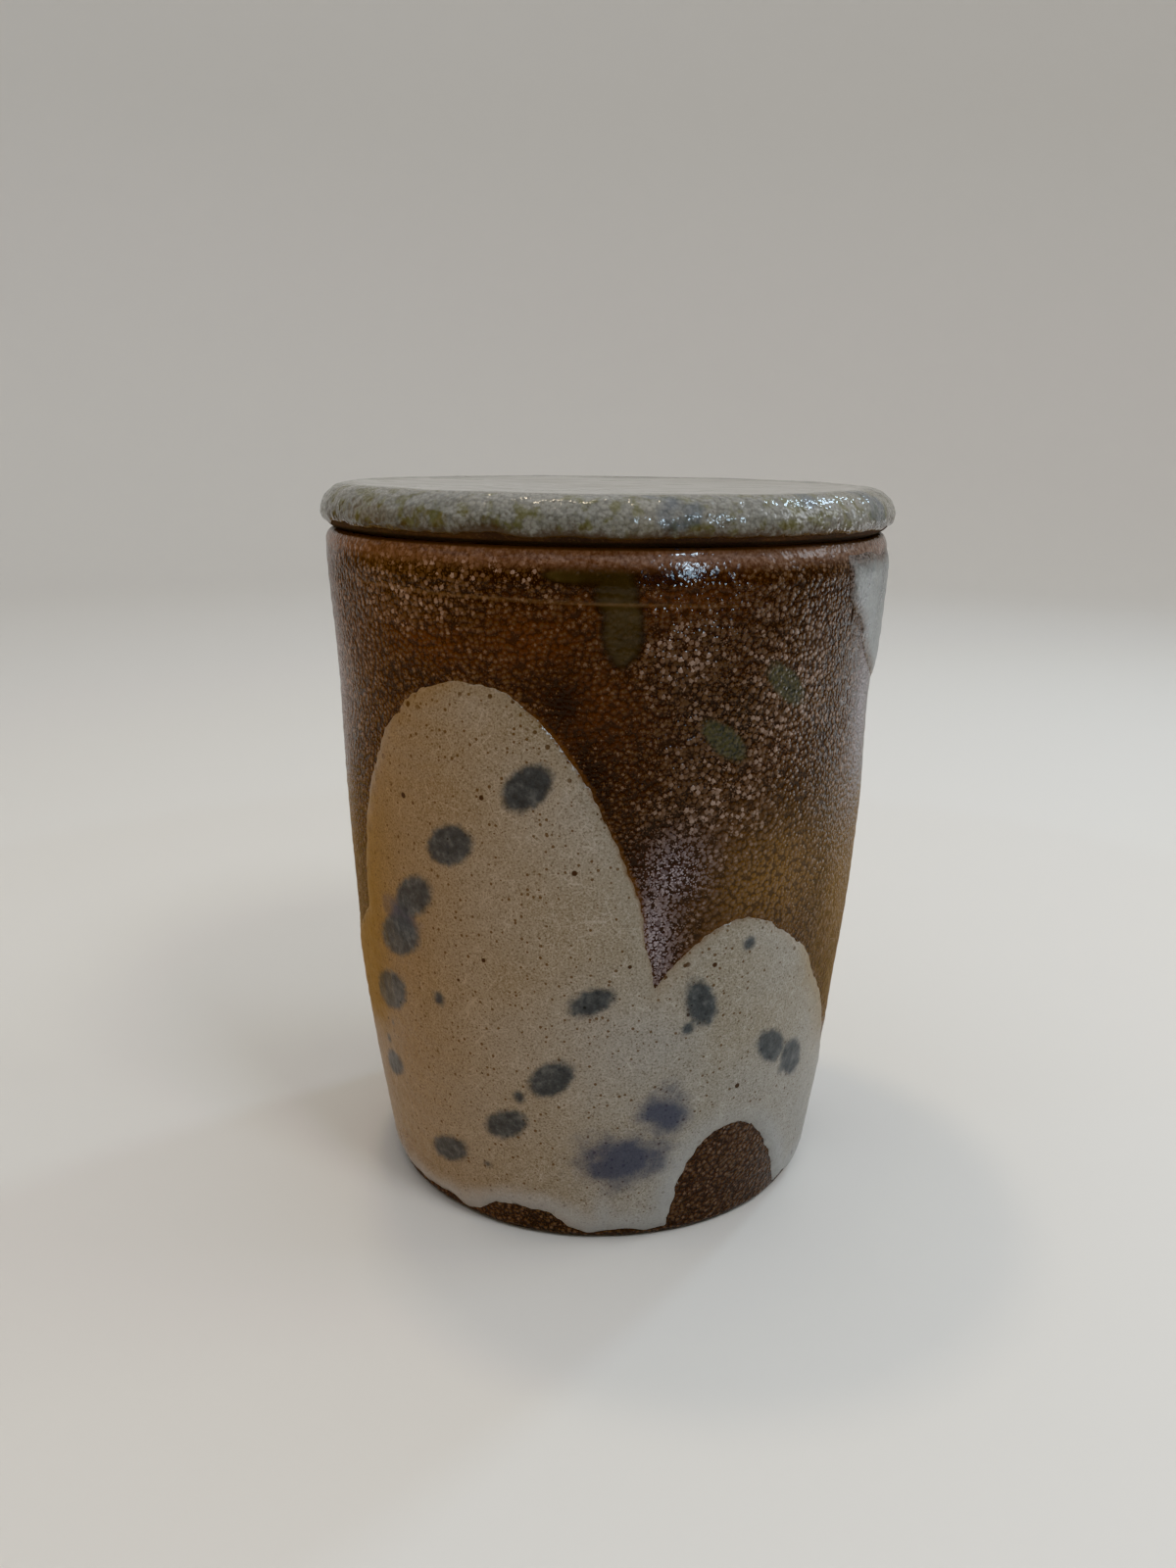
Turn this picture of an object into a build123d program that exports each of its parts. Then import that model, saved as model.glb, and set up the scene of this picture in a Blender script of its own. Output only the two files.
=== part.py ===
from build123d import *

import os

# Lidded stoneware pot: a thrown pot, a loose disc lid with a ring under it, and the glaze fired onto both.
# Lengths are in millimetres and +Z is up. The origin is the middle of the foot, on the surface it stands on,
# and the front of the pot faces -Y.

# Side of the pot: a slow swell up to the shoulder, then a straight flare out to the lip. The two are joined
# by a gentle bend.
shoulder_radius = 72.5
side_taper = 12.0
lip_flare = 2.8
pot_height = 181.0
flare_height = 41.0
shoulder_bend = 240.0

# Clay of the pot
wall_thickness = 6.5
floor_height = 9.0
floor_corner_round = 9.0
heel_round = 3.0
lip_outer_round = 3.0
lip_inner_round = 1.5

# Underside: a shallow hollow turned out of the base, so that the pot stands on a ring
foot_ring_width = 9.0
foot_hollow_depth = 2.0
foot_hollow_round = 1.5

# Glaze inside the pot, and the bare band left at the mouth where the lid is fired in place
liner_coat = 0.6
bare_mouth_depth = 14.0

# Pale glaze poured over the outside, and the bare line left above the table
pour_coat = 0.9
pour_foot_line = 4.0

# Lobes of the pale glaze, each an oval seen square on: centre across and up, then half width and half height.
# Across is a share of the shoulder radius, up is a share of the pot's height.
front_lobe_shares = [(-0.434, 0.331, 0.579, 0.496), (0.462, 0.166, 0.4, 0.334), (0.19, 0.2, 0.33, 0.215)]
back_lobe_shares = [(-0.497, 0.233, 0.566, 0.486), (0.428, 0.265, 0.450, 0.453)]
rim_lobe_shares = [(0.069, 1.028, 0.759, 0.260)]

# Lid, which lies on the rim and stands a little past the lip
lid_overhang = 0.7
lid_lower_round = 4.0
lid_upper_round = 6.2
lid_dish_depth = 1.0

# Glaze over the lid, and the bare band left along its lower edge
lid_coat = 0.8
lid_bare_band = 2.6

# Ring under the lid, which keeps it centred in the mouth
ring_clearance = 2.0
ring_thickness = 6.0
ring_depth = 10.0
ring_round = 2.0

# Cuts run this far past what they cut
overrun = 10.0

# Places and fits that follow from the sizes above
base_radius = shoulder_radius - side_taper
lip_radius = shoulder_radius + lip_flare
shoulder_height = pot_height - flare_height
mouth_radius = lip_radius - wall_thickness
foot_hollow_radius = base_radius - heel_round - foot_ring_width
lobe_reach = shoulder_radius + lip_radius
lid_seat = pot_height
lid_radius = lip_radius + lid_overhang - lid_coat
ring_radius = mouth_radius - ring_clearance


def side_face(inset, mode=Mode.ADD):
    """Draws the area from the axis to the side of the pot, with the side moved inwards by inset."""
    base = (base_radius - inset, 0)
    shoulder = (shoulder_radius - inset, shoulder_height)
    rim = (lip_radius - inset, pot_height)
    with BuildLine() as outline:
        TangentArc(shoulder, base, tangent=(0, -1))
        Polyline(shoulder, rim, (0, pot_height), (0, 0), base)
    side = make_face(outline.edges(), mode=Mode.PRIVATE).face()
    bend = side.vertices().sort_by_distance(shoulder)[0]
    add(side.fillet_2d(shoulder_bend, [bend]), mode=mode)


def keep_between(low, high):
    """Keeps what is drawn between two heights."""
    with Locations((0, low)):
        Rectangle(lobe_reach, high - low, align=(Align.MIN, Align.MIN), mode=Mode.INTERSECT)


def floor_corner(section):
    """The corner of a section of the hollow where the floor meets the wall."""
    return section.vertices().group_by(Axis.Y)[0].sort_by(Axis.X)[-1]


def round_edges(piece, level):
    """The round edges at the bottom (level 0) or the top (level -1) of a piece, the smallest first."""
    return piece.edges().filter_by(GeomType.CIRCLE).group_by(Axis.Z)[level].sort_by(SortBy.RADIUS)


def lobes(shares):
    """Draws the ovals of a pour."""
    for across_share, up_share, half_width_share, half_height_share in shares:
        with Locations((across_share * shoulder_radius, up_share * pot_height)):
            Ellipse(half_width_share * shoulder_radius, half_height_share * pot_height)


def pour_face():
    """Draws the thin strip of glaze that lies on the side of the pot, clear of the heel and the lip."""
    side_face(-pour_coat)
    side_face(0, mode=Mode.SUBTRACT)
    keep_between(pour_foot_line, pot_height - lip_outer_round)


def lid_face(grow, mode=Mode.ADD):
    """Draws half the lid's section, made larger all round by grow."""
    flat = lid_radius - lid_lower_round
    crest = lid_radius - lid_upper_round
    middle = lid_seat + lid_lower_round
    top = middle + lid_upper_round + grow
    underside = lid_seat - grow
    with BuildLine() as outline:
        Line((0, underside), (flat, underside))
        CenterArc((flat, middle), lid_lower_round + grow, -90, 90)
        CenterArc((crest, middle), lid_upper_round + grow, 0, 90)
        TangentArc((0, top - lid_dish_depth), (crest, top), tangent=(1, 0))
        Line((0, top - lid_dish_depth), (0, underside))
    make_face(outline.edges(), mode=mode)


# The pot: one thrown piece of clay
with BuildPart() as pot_body:
    with BuildSketch(Plane.XZ):
        side_face(0)
        Rectangle(foot_hollow_radius, foot_hollow_depth, align=(Align.MIN, Align.MIN), mode=Mode.SUBTRACT)
    revolve(axis=Axis.Z)
    fillet(round_edges(pot_body, 0)[-1], radius=heel_round)
    fillet(round_edges(pot_body, 0)[0], radius=foot_hollow_round)
    with BuildSketch(Plane.XZ) as hollow:
        side_face(wall_thickness)
        keep_between(floor_height, pot_height)
        fillet(floor_corner(hollow), radius=floor_corner_round)
    revolve(axis=Axis.Z, mode=Mode.SUBTRACT)
    fillet(round_edges(pot_body, -1)[-1], radius=lip_outer_round)
    fillet(round_edges(pot_body, -1)[0], radius=lip_inner_round)

# Glaze inside the pot, from the floor to the bare band at the mouth
with BuildPart() as liner_glaze:
    with BuildSketch(Plane.XZ) as hollow:
        side_face(wall_thickness)
        keep_between(floor_height, pot_height)
        fillet(floor_corner(hollow), radius=floor_corner_round)
    revolve(axis=Axis.Z)
    with BuildSketch(Plane.XZ) as inside:
        side_face(wall_thickness + liner_coat)
        keep_between(floor_height + liner_coat, pot_height)
        fillet(floor_corner(inside), radius=floor_corner_round - liner_coat)
    revolve(axis=Axis.Z, mode=Mode.SUBTRACT)
    split(bisect_by=Plane.XY.offset(pot_height - bare_mouth_depth), keep=Keep.BOTTOM)

# Pale glaze poured up from the foot, in front and behind
with BuildPart() as pale_glaze_pour:
    with BuildSketch(Plane.XZ):
        lobes(front_lobe_shares)
    extrude(amount=lobe_reach)
    with BuildSketch(Plane.XZ):
        lobes(back_lobe_shares)
    extrude(amount=-lobe_reach)
    with BuildSketch(Plane.XZ):
        pour_face()
    revolve(axis=Axis.Z, mode=Mode.INTERSECT)

# Pale glaze run down from the rim on one side
with BuildPart() as rim_glaze_pour:
    with BuildSketch(Plane.YZ):
        lobes(rim_lobe_shares)
    extrude(amount=lobe_reach)
    with BuildSketch(Plane.XZ):
        pour_face()
    revolve(axis=Axis.Z, mode=Mode.INTERSECT)

# The lid: a thick disc with a rounded edge and a shallow dish on top
with BuildPart() as lid_disc:
    with BuildSketch(Plane.XZ):
        lid_face(0)
    revolve(axis=Axis.Z)

# Ring stuck under the lid before firing
with BuildPart() as lid_ring:
    with BuildSketch(Plane.XY.offset(lid_seat)):
        Circle(ring_radius)
        Circle(ring_radius - ring_thickness, mode=Mode.SUBTRACT)
    extrude(amount=-ring_depth)
    fillet(round_edges(lid_ring, 0), radius=ring_round)

# Glaze over the top and edge of the lid
with BuildPart() as lid_glaze:
    with BuildSketch(Plane.XZ):
        lid_face(lid_coat)
        lid_face(0, mode=Mode.SUBTRACT)
        keep_between(lid_seat + lid_bare_band, lid_seat + lid_lower_round + lid_upper_round + overrun)
    revolve(axis=Axis.Z)

os.makedirs("parts", exist_ok=True)
pieces = {
    "pot_body": pot_body,
    "liner_glaze": liner_glaze,
    "pale_glaze_pour": pale_glaze_pour,
    "rim_glaze_pour": rim_glaze_pour,
    "lid_disc": lid_disc,
    "lid_ring": lid_ring,
    "lid_glaze": lid_glaze,
}
for name, piece in pieces.items():
    piece.part.label = name
    export_step(piece.part, f"parts/{name}.step")
    print(name, len(piece.solids()), "solid", round(piece.part.volume / 1000, 2), "cm3")
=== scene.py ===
# %% [markdown]
# # A lidded stoneware pot
# A potter threw this pot on a wheel, fired it with salt so that its clay took a brown pebbled skin, and
# poured a pale glaze up its side in rounded lobes. The lid is a thick disc that lies loose on the rim. The
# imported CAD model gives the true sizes. Here each of its pieces is drawn again as a fine surface, with the
# small unevenness of hand work, and gets a finish made of nodes.

import bpy
import numpy as np
from mathutils import Matrix


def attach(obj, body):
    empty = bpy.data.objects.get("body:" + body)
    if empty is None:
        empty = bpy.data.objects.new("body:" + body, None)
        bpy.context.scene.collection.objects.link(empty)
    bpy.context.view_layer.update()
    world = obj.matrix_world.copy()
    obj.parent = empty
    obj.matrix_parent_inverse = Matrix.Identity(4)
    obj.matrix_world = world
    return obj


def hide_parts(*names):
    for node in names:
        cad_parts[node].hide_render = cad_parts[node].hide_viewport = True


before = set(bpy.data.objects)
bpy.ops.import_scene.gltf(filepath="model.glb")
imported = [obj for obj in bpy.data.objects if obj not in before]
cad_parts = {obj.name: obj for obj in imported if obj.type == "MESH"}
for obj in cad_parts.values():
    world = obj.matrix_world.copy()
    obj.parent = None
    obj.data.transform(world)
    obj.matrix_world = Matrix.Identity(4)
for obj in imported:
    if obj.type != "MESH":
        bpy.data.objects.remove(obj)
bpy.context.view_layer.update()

MM = 0.001

# %% [markdown]
# ## The camera
# The camera stands where the photograph was taken from: a little above the lid and close to the pot, looking
# slightly down. Its three axes are worked out first, and its matrix is made from them, so that the small
# roll of a hand-held view can go in too.

# %% Camera
FOCAL_PIXELS, IMAGE_HEIGHT = 1275.0, 1600.0
SENSOR_MM = 36.0
CAMERA_PLACE = np.array([-4.2, -346.6, 203.6]) * MM
PITCH_DOWN, ROLL = np.radians(15.44), np.radians(0.65)


def camera_axes(pitch, roll):
    """Right, up and back: looking along +Y, turned down by pitch, then about the line of sight by roll."""
    ahead = np.array([0, np.cos(pitch), -np.sin(pitch)])
    level = np.array([1.0, 0, 0])
    steep = np.cross(level, ahead)
    right = level * np.cos(roll) + steep * np.sin(roll)
    up = steep * np.cos(roll) - level * np.sin(roll)
    return right, up, -ahead


def stand(name, data, axes, place):
    """A camera or lamp at a place. Its own three axes are the columns of its matrix."""
    holder = bpy.data.objects.new(name, data)
    bpy.context.collection.objects.link(holder)
    placed = np.eye(4)
    placed[:3, :3], placed[:3, 3] = np.column_stack(axes), place
    holder.matrix_world = Matrix(placed.tolist())
    return holder


camera = stand("camera", bpy.data.cameras.new("camera"), camera_axes(PITCH_DOWN, ROLL), CAMERA_PLACE)
camera.data.sensor_width = SENSOR_MM
camera.data.lens = SENSOR_MM * FOCAL_PIXELS / IMAGE_HEIGHT
camera.data.clip_start = 10 * MM
bpy.context.scene.camera = camera
print("camera lens", round(camera.data.lens, 2), "mm at", CAMERA_PLACE)

# %% [markdown]
# ## Sizes
# These are the sizes of the CAD pieces, so that every surface drawn here lies where its piece does. Heights
# are measured up from the foot, and angles go round from the front, which faces -Y, towards +X.

# %% Sizes of the clay and the coats
SHOULDER_RADIUS, SIDE_TAPER, LIP_FLARE = 72.5 * MM, 12.0 * MM, 2.8 * MM
POT_HEIGHT, FLARE_HEIGHT, SHOULDER_BEND = 181.0 * MM, 41.0 * MM, 240.0 * MM
WALL, FLOOR_HEIGHT, FLOOR_CORNER = 6.5 * MM, 9.0 * MM, 9.0 * MM
HEEL_ROUND, LIP_OUTER_ROUND, LIP_INNER_ROUND = 3.0 * MM, 3.0 * MM, 1.5 * MM
FOOT_RING_WIDTH, FOOT_HOLLOW_DEPTH, FOOT_HOLLOW_ROUND = 9.0 * MM, 2.0 * MM, 1.5 * MM
LINER_COAT, BARE_MOUTH, POUR_COAT = 0.6 * MM, 14.0 * MM, 0.9 * MM
LID_OVERHANG, LID_COAT = 0.7 * MM, 0.8 * MM
LID_LOWER_ROUND, LID_UPPER_ROUND, LID_DISH = 4.0 * MM, 6.2 * MM, 1.0 * MM
RING_CLEARANCE, RING_THICKNESS, RING_DEPTH, RING_ROUND = 2.0 * MM, 6.0 * MM, 10.0 * MM, 2.0 * MM

BASE_RADIUS = SHOULDER_RADIUS - SIDE_TAPER
LIP_RADIUS = SHOULDER_RADIUS + LIP_FLARE
SHOULDER_HEIGHT = POT_HEIGHT - FLARE_HEIGHT
FLARE_SLOPE = LIP_FLARE / FLARE_HEIGHT
MOUTH_RADIUS = LIP_RADIUS - WALL
LID_RADIUS = LIP_RADIUS + LID_OVERHANG - LID_COAT
RING_RADIUS = MOUTH_RADIUS - RING_CLEARANCE
print("lid", round(2 * (LID_RADIUS + LID_COAT) / MM, 1), "mm across")

# %% [markdown]
# ## Surfaces from arrays
# Thrown pieces are round, so each is a profile carried round the axis: a grid of points, one row for each
# point of the profile and one column for each step round. Numpy works out the whole grid at once. Hand work
# is never quite even, so a smooth chance relief, a sum of sine waves, is added to it.


# %% Unevenness as arrays
def ripple(points, wavelength, seed, waves=18):
    """Smooth chance relief: a sum of plane sine waves of about one wavelength, in drawn directions and
    phases, with mean 0 and spread about 1."""
    draw = np.random.default_rng(seed)
    ways = draw.normal(size=(waves, 3))
    ways /= np.linalg.norm(ways, axis=1, keepdims=True)
    ways *= 2 * np.pi / wavelength * draw.uniform(0.7, 1.4, (waves, 1))
    phases = draw.uniform(0, 2 * np.pi, waves)
    return np.sqrt(2 / waves) * np.sin(points @ ways.T + phases).sum(axis=-1)


def relief(points, *layers):
    """Ripples added up, in metres. A layer is a height and a wavelength in millimetres, a seed and, where it
    isn't 18, a number of waves."""
    return MM * sum(tall * ripple(points, length * MM, *rest) for tall, length, *rest in layers)


def spiral(angle, height, pitch):
    """A sine wave that climbs by a pitch in each turn round the axis, as a thrower's fingers do."""
    return np.sin(2 * np.pi * height / pitch + angle)


def ease(value, low, high):
    """Smooth step: 0 below low, 1 above high, and an even S between."""
    share = np.clip((value - low) / (high - low), 0, 1)
    return share * share * (3 - 2 * share)


def bell(value, middle, width):
    """1 at the middle and less on both sides: the exponential of minus the square of the scaled distance."""
    return np.exp(-(((value - middle) / width) ** 2))


print("relief spreads by", round(float(ripple(np.eye(3), 1.0, 1).std()), 2))


# %% Profiles and turns as arrays
def steps_round(columns):
    """Angles of even steps round the axis."""
    return np.arange(columns) * 2 * np.pi / columns


def turn_from(angle, degrees):
    """How far an angle is past one in degrees, the short way round."""
    return (angle - np.radians(degrees) + np.pi) % (2 * np.pi) - np.pi


def round_about(angle, radius, height):
    """Points at an angle from the front, a radius from the axis and a height."""
    return np.stack(np.broadcast_arrays(radius * np.sin(angle), -radius * np.cos(angle), height), axis=-1)


def arc(centre, radius, start, end, steps):
    """Points of a circle's arc in the plane of a profile, from one angle to another, in degrees."""
    turn = np.radians(np.linspace(start, end, steps))
    return np.column_stack([centre[0] + radius * np.cos(turn), centre[1] + radius * np.sin(turn)])


def run(start, end, steps):
    """Points of a straight run of a profile, without its ends."""
    share = np.linspace(0, 1, steps + 2)[1:-1, None]
    return np.array(start) * (1 - share) + np.array(end) * share


print("four steps round:", np.round(np.degrees(steps_round(4))))

# %% [markdown]
# Blender keeps a mesh as flat lists: places of points, corners of faces, and where each face's corners
# start. Each list is filled in one go from an array, which is much quicker than adding points one by one.


# %% Arrays into meshes
def put_in_mesh(name, points, quads, triangles=()):
    """A smooth mesh object of those points and faces, whose corners are numbers of points."""
    triangles = np.asarray(triangles, int).reshape(-1, 3)
    mesh = bpy.data.meshes.new(name)
    mesh.vertices.add(len(points))
    mesh.vertices.foreach_set("co", points.astype(np.float32).ravel())
    corners = np.concatenate([quads.ravel(), triangles.ravel()])
    mesh.loops.add(len(corners))
    mesh.loops.foreach_set("vertex_index", corners.astype(np.int32))
    starts = np.concatenate([np.arange(len(quads)) * 4, quads.size + np.arange(len(triangles)) * 3])
    mesh.polygons.add(len(starts))
    mesh.polygons.foreach_set("loop_start", starts.astype(np.int32))
    mesh.polygons.foreach_set("use_smooth", np.ones(len(starts), bool))
    mesh.update(calc_edges=True)
    mesh.validate()
    piece = bpy.data.objects.new(name, mesh)
    bpy.context.collection.objects.link(piece)
    return piece


def ring_quads(rows, columns, loop=False):
    """Squares between the rows of a grid that closes round the axis and, with loop, from its last row to its
    first."""
    row, column = np.mgrid[0 : rows if loop else rows - 1, 0:columns]
    after, above = (column + 1) % columns, (row + 1) % rows
    corners = [(row, column), (row, after), (above, after), (above, column)]
    return np.stack([r * columns + c for r, c in corners], axis=-1).reshape(-1, 4)


def spun_piece(name, grid, loop=False):
    """A closed round piece from a grid of points, rows along the profile and columns round the axis. The
    profile runs from the axis below to the axis above, and its ends become one point each, or with loop it
    is a ring."""
    columns = grid.shape[1]
    inner = grid if loop else grid[1:-1]
    quads = ring_quads(len(inner), columns, loop)
    points = inner.reshape(-1, 3)
    if loop:
        return put_in_mesh(name, points, quads)
    low, high = len(points), len(points) + 1
    here, then = np.arange(columns), np.roll(np.arange(columns), -1)
    last = low - columns
    below = np.column_stack([np.full(columns, low), then, here])
    over = np.column_stack([last + here, last + then, np.full(columns, high)])
    points = np.concatenate([points, grid[:1, 0], grid[-1:, 0]])
    return put_in_mesh(name, points, quads, np.concatenate([below, over]))


print("three rows of eight points close with", len(ring_quads(3, 8)), "squares")


# %% What a piece keeps, and where it belongs
def keep(piece, name, values):
    """Keeps one number for each point of a piece, for its finish to read."""
    numbers = piece.data.attributes.new(name, "FLOAT", "POINT").data
    numbers.foreach_set("value", np.asarray(values, np.float32).ravel())


def spun_order(values):
    """The numbers of a grid in the order of a spun piece's points."""
    return np.concatenate([values[1:-1].ravel(), values[:1, 0], values[-1:, 0]])


def seat(piece, node, body):
    """Stands a piece in for a CAD node, on that node's body."""
    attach(piece, body)
    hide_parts(node)
    print(piece.name, "has", len(piece.data.polygons), "faces")


# %% [markdown]
# ## The side of the pot
# The side is a slow swell up to the shoulder, one large arc that is upright at its top. From there it flares
# straight out to the lip. Every coat of glaze lies on this side, so its radius at a height is a function of
# its own, and so is the unevenness that the potter's hands left in it.

# %% The side's radius
SWELL = (SHOULDER_HEIGHT**2 + SIDE_TAPER**2) / (2 * SIDE_TAPER)
SWELL_AXIS = SHOULDER_RADIUS - SWELL
HEEL_AXIS = SWELL_AXIS + np.sqrt((SWELL - HEEL_ROUND) ** 2 - (SHOULDER_HEIGHT - HEEL_ROUND) ** 2)
HEEL_TURN = np.arctan2(SHOULDER_HEIGHT - HEEL_ROUND, HEEL_AXIS - SWELL_AXIS)
HEEL_TOP = HEEL_ROUND * (1 - np.sin(HEEL_TURN))
FLARE_LEAN = np.arctan(FLARE_SLOPE)
BEND_REACH = SHOULDER_BEND * np.tan(FLARE_LEAN / 2) / 2
LIP_AXIS = LIP_RADIUS - LIP_OUTER_ROUND * (FLARE_SLOPE + np.hypot(1, FLARE_SLOPE))
LIP_START = POT_HEIGHT - LIP_OUTER_ROUND * (1 + np.sin(FLARE_LEAN))


def rise(radius, reach):
    """How far a circle stands out at a distance from its middle."""
    return np.sqrt(np.maximum(radius**2 - reach**2, 0))


def side_radius(height):
    """Radius of the outside: a round heel, an arc up to the shoulder, a straight flare and a round lip. The
    flare starts as one branch of a hyperbola does, so the bend at the shoulder is gentle."""
    past = height - SHOULDER_HEIGHT
    swell = SWELL_AXIS + rise(SWELL, np.minimum(past, 0))
    flare = FLARE_SLOPE * (past + np.hypot(past, BEND_REACH)) / 2
    heel = HEEL_AXIS + rise(HEEL_ROUND, HEEL_ROUND - height)
    lip = LIP_AXIS + rise(LIP_OUTER_ROUND, height - (POT_HEIGHT - LIP_OUTER_ROUND))
    return np.select([height < HEEL_TOP, height > LIP_START], [heel, lip], swell + flare)


checked = np.array([0, HEEL_TOP, SHOULDER_HEIGHT, LIP_START, POT_HEIGHT])
print("radius from foot to rim:", np.round(side_radius(checked) / MM, 2))

# %% Marks of the hand
THROWING_PITCH = 5.2 * MM
SCORED_LEVEL, SCORED_TILT, SCORED_WIDTH = 168.9 * MM, 1.6 * MM, 0.6 * MM
UPPER_LEVEL, UPPER_WIDTH = 171.4 * MM, 0.5 * MM
LIP_ROLL, ROLL_FRONT, ROLL_SPREAD = 2.4 * MM, 8, 1.1
ROLL_START, ROLL_END = 172.5 * MM, 180.5 * MM


def scored_line(angle, height):
    """1 along a line scored round most of the pot under the lip, slightly tilted, and 0 away from it."""
    level = SCORED_LEVEL - SCORED_TILT * np.sin(angle)
    return bell(height, level, SCORED_WIDTH) * ease(np.sin(2 * angle + 2.2), -0.5, 0.6)


def hand_relief(angle, height):
    """How far the side stands out or in from true: slow waves from the potter's hands and a fine pebbling,
    faint throwing rings that climb as a spiral, and two scored lines under the lip."""
    points = round_about(angle, SHOULDER_RADIUS, height)
    uneven = relief(points, (0.12, 60, 1), (0.06, 22, 2), (0.03, 3.4, 3, 30))
    rings = 0.035 * spiral(angle, height, THROWING_PITCH)
    upper = bell(height, UPPER_LEVEL, UPPER_WIDTH) * ease(np.sin(angle + 0.4), -0.4, 0.5)
    return uneven + (rings - 0.16 * scored_line(angle, height) - 0.12 * upper) * MM


def lip_roll(angle, height):
    """How far the outside draws in under the rim, where a thumb softened the lip: most in front, nothing
    behind."""
    front = bell(turn_from(angle, ROLL_FRONT), 0, ROLL_SPREAD)
    return -LIP_ROLL * front * ease(height, ROLL_START, ROLL_END)


print("in front the rim draws in by", round(float(-lip_roll(0.0, POT_HEIGHT)) / MM, 2), "mm")

# %% [markdown]
# ## Where the pale glaze lies
# The potter dipped and poured the glaze, so its edge is a row of rounded lobes. Each lobe is an oval, as in
# the CAD model. A finish needs more than inside or outside: it needs to know how far a point is from the
# edge, because the glaze thins there and goes rusty. So these functions give that distance, in metres, above
# zero inside the glaze.

# %% Ovals on the side
FACING_LEAST = 0.12
TINY = 1e-6


def oval_distance(across, up, facing, middle, level, half_width, half_height, lean=0.0):
    """Distance inside an oval: how far its scaled radius is under 1, divided by how fast that changes along
    the side, which turns away from the view by facing. An oval that leans slides left as it rises."""
    half_x, half_z = half_width * SHOULDER_RADIUS, half_height * POT_HEIGHT
    above = up - level * POT_HEIGHT
    u, v = (across - middle * SHOULDER_RADIUS + lean * above) / half_x, above / half_z
    q = np.hypot(u, v) + TINY
    return (1 - q) / (np.hypot(u / half_x * facing, v / half_z) / q + TINY)


def in_ovals(angle, height, table, turned=0.0):
    """Distance inside the nearest of several ovals, seen from the front or from turned."""
    across = side_radius(height) * np.sin(angle - turned)
    facing = np.maximum(np.abs(np.cos(angle - turned)), FACING_LEAST)
    return np.max([oval_distance(across, height, facing, *shares) for shares in table], axis=0)


def in_dabs(angle, height, dabs):
    """Distance in millimetres inside the nearest of many tilted ovals laid on the side: how far its scaled
    radius is under 1, times half its width. A dab is an angle, a height, half a length, half a width and a
    tilt."""
    middle, level, length, width, tilt = np.array(dabs).T
    turn = turn_from(angle[..., None], middle)
    x, z = turn * side_radius(height)[..., None] / MM, height[..., None] / MM - level
    c, s = np.cos(np.radians(tilt)), np.sin(np.radians(tilt))
    q = np.hypot((x * c + z * s) / length, (z * c - x * s) / width)
    return ((1 - q) * width).max(axis=-1)


def soft_spots(angle, height, table):
    """Bell-shaped spots on the side, each with an angle, a height and two half sizes: 1 in the middle, 0 far
    off."""
    middle, level, half_x, half_z = np.array(table).T
    across = turn_from(angle[..., None], middle) * SHOULDER_RADIUS / MM
    return (bell(across, 0, half_x) * bell(height[..., None] / MM, level, half_z)).max(axis=-1)


trial = in_dabs(np.zeros(1), np.array([90 * MM]), [(0, 90, 8, 5, 30)])
print("the middle of a dab 10 mm wide is", round(float(trial[0]), 1), "mm inside it")

# %% [markdown]
# The potter's fingers and the kiln shelf kept the glaze off a few patches at the foot. The edge of the glaze
# wavers a little, as any poured edge does.

# %% Edges of the two pours
FRONT_LOBE_SHARES = [(-0.338, 0.415, 0.510, 0.414, 0.112), (-0.430, 0.220, 0.570, 0.360),
                     (0.460, 0.179, 0.412, 0.326, 0.011), (0.190, 0.200, 0.330, 0.215)]
BACK_LOBE_SHARES = [(-0.497, 0.233, 0.566, 0.486), (0.428, 0.265, 0.450, 0.453), (0.02, 0.12, 0.42, 0.30)]
RIM_LOBE_SHARES = [(0.069, 1.028, 0.759, 0.260)]
FOOT_PATCH_SHARES = [(-0.270, -0.015, 0.190, 0.062), (0.460, -0.030, 0.215, 0.205)]
POUR_FOOT, POUR_TOP = 2.6 * MM, 177.6 * MM
SIDE_BLEND = 14 * MM
FAR = 20 * MM


def pour_distance(angle, height):
    """Distance inside the glaze poured from the foot: its lobes in front and behind, joined round the sides,
    less the patches that it missed."""
    front = in_ovals(angle, height, FRONT_LOBE_SHARES)
    front = np.minimum(front, -in_ovals(angle, height, FOOT_PATCH_SHARES))
    back = in_ovals(angle, height, BACK_LOBE_SHARES)
    behind = ease(-side_radius(height) * np.cos(angle), -SIDE_BLEND, SIDE_BLEND)
    points = round_about(angle, SHOULDER_RADIUS, height)
    lobes = front * (1 - behind) + back * behind + relief(points, (0.30, 18, 11), (0.17, 3.6, 12))
    return np.minimum(lobes, height - POUR_FOOT + relief(points, (0.5, 12, 13)))


def rim_pour_distance(angle, height):
    """Distance inside the glaze that runs down from the rim on the right."""
    side = in_ovals(angle, height, RIM_LOBE_SHARES, np.pi / 2)
    points = round_about(angle, SHOULDER_RADIUS, height)
    side = np.where(np.sin(angle) > 0, side, -FAR) + relief(points, (0.6, 18, 21), (0.15, 4, 22))
    return np.minimum(side, POUR_TOP - height + relief(points, (0.4, 14, 23)))


deep = pour_distance(np.radians(np.array([-25.0])), np.array([80 * MM]))
print("glaze at 80 mm up is", round(float(deep[0]) / MM, 1), "mm inside its edge")

# %% [markdown]
# ## The pot
# One profile goes from the middle of the underside, over the foot ring and the heel, up the side, over the
# lip, down the inside and back to the middle of the floor. It could be a curve with a Screw modifier, but a
# grid lets each row and column move, so the side can be a little uneven.

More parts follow.
